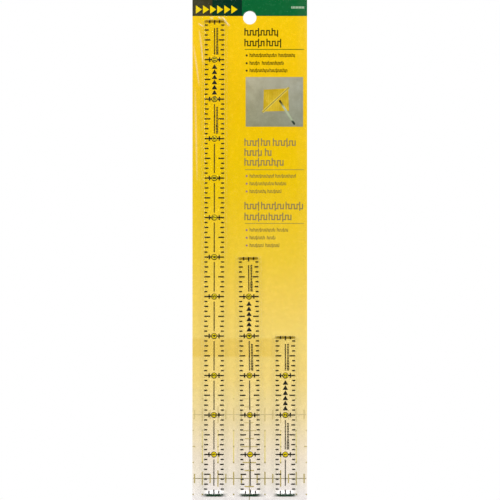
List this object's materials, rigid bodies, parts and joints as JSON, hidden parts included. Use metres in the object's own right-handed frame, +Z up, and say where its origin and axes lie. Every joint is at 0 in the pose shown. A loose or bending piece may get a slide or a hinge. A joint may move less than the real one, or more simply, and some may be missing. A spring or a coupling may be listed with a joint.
{
  "type": "carded marking ruler set",
  "caption": "Clear half-inch-wide marking rulers in graded lengths, each in a close film pocket on a tall printed hang card.",
  "frame": {"origin": "centre of the hang hole, at the card's back face", "axes": "+Z up along the card and the rulers, printed front towards -Y, +X to the right seen from the front"},
  "size_m": [0.0738, 0.0036, 0.323],
  "materials": {
    "paperboard": "uncoated grey-white board",
    "ground_colour": "yellow fading to cream, semi-gloss coat",
    "olive_ink": "semi-gloss print",
    "dark_green_ink": "semi-gloss print",
    "green_ink": "semi-gloss print",
    "yellow_ink": "semi-gloss print",
    "white_ink": "semi-gloss print",
    "dark_text_ink": "semi-gloss print",
    "rule_green_ink": "semi-gloss print",
    "grey_text_ink": "semi-gloss print",
    "grey_feature_ink": "semi-gloss print",
    "violet_ink": "semi-gloss print",
    "picture_ground_ink": "semi-gloss print",
    "picture_cloth_ink": "semi-gloss print",
    "picture_ruler_ink": "semi-gloss print",
    "picture_pencil_ink": "semi-gloss print",
    "grid_grey_ink": "faint print",
    "grid_tick_ink": "faint print",
    "grid_yellow_ink": "faint print",
    "clear_film": "thin clear heat-drawn film",
    "clear_acrylic": "clear polished acrylic",
    "black_ink": "screen-printed ink",
    "disc_yellow_ink": "screen-printed ink"
  },
  "bodies": {
    "pack": {"backing_card": "paperboard", "ground_print": "ground_colour", "header_olive_print": "olive_ink", "header_dark_print": "dark_green_ink", "header_green_print": "green_ink", "header_ornament_print": "yellow_ink", "item_code_print": "white_ink", "title_text_print": "dark_text_ink", "feature_text_print": "dark_text_ink", "grey_title_text_print": "grey_text_ink", "grey_feature_text_print": "grey_feature_ink", "title_rule_print": "rule_green_ink", "grey_rule_print": "grey_text_ink", "feature_bullet_print": "dark_text_ink", "grey_bullet_print": "violet_ink", "picture_ground_print": "picture_ground_ink", "picture_cloth_print": "picture_cloth_ink", "picture_ruler_print": "picture_ruler_ink", "picture_pencil_print": "picture_pencil_ink", "grid_line_print": "grid_grey_ink", "grid_tick_print": "grid_tick_ink", "grid_dash_print": "grid_yellow_ink", "grid_dot_print": "grid_grey_ink", "skin_film": "clear_film"},
    "ruler_12_inch": {"ruler_12_inch_blade": "clear_acrylic", "ruler_12_inch_scale_print": "black_ink", "ruler_12_inch_small_print": "black_ink", "ruler_12_inch_maker_ornament_print": "black_ink", "ruler_12_inch_numeral_print": "black_ink", "ruler_12_inch_disc_print": "disc_yellow_ink"},
    "ruler_6_inch": {"ruler_6_inch_blade": "clear_acrylic", "ruler_6_inch_scale_print": "black_ink", "ruler_6_inch_small_print": "black_ink", "ruler_6_inch_maker_ornament_print": "black_ink", "ruler_6_inch_numeral_print": "black_ink", "ruler_6_inch_disc_print": "disc_yellow_ink"},
    "ruler_4_inch": {"ruler_4_inch_blade": "clear_acrylic", "ruler_4_inch_scale_print": "black_ink", "ruler_4_inch_small_print": "black_ink", "ruler_4_inch_maker_ornament_print": "black_ink", "ruler_4_inch_numeral_print": "black_ink", "ruler_4_inch_disc_print": "disc_yellow_ink"}
  },
  "joints": [
    {"name": "ruler_12_inch_slide", "type": "slide", "parent": "pack", "child": "ruler_12_inch", "axis": [-0.0016, 0, -1], "range_m": [0, 0.312]},
    {"name": "ruler_6_inch_slide", "type": "slide", "parent": "pack", "child": "ruler_6_inch", "axis": [0.008, 0, -1], "range_m": [0, 0.16]},
    {"name": "ruler_4_inch_slide", "type": "slide", "parent": "pack", "child": "ruler_4_inch", "axis": [0, 0, -1], "range_m": [0, 0.109]}
  ]
}
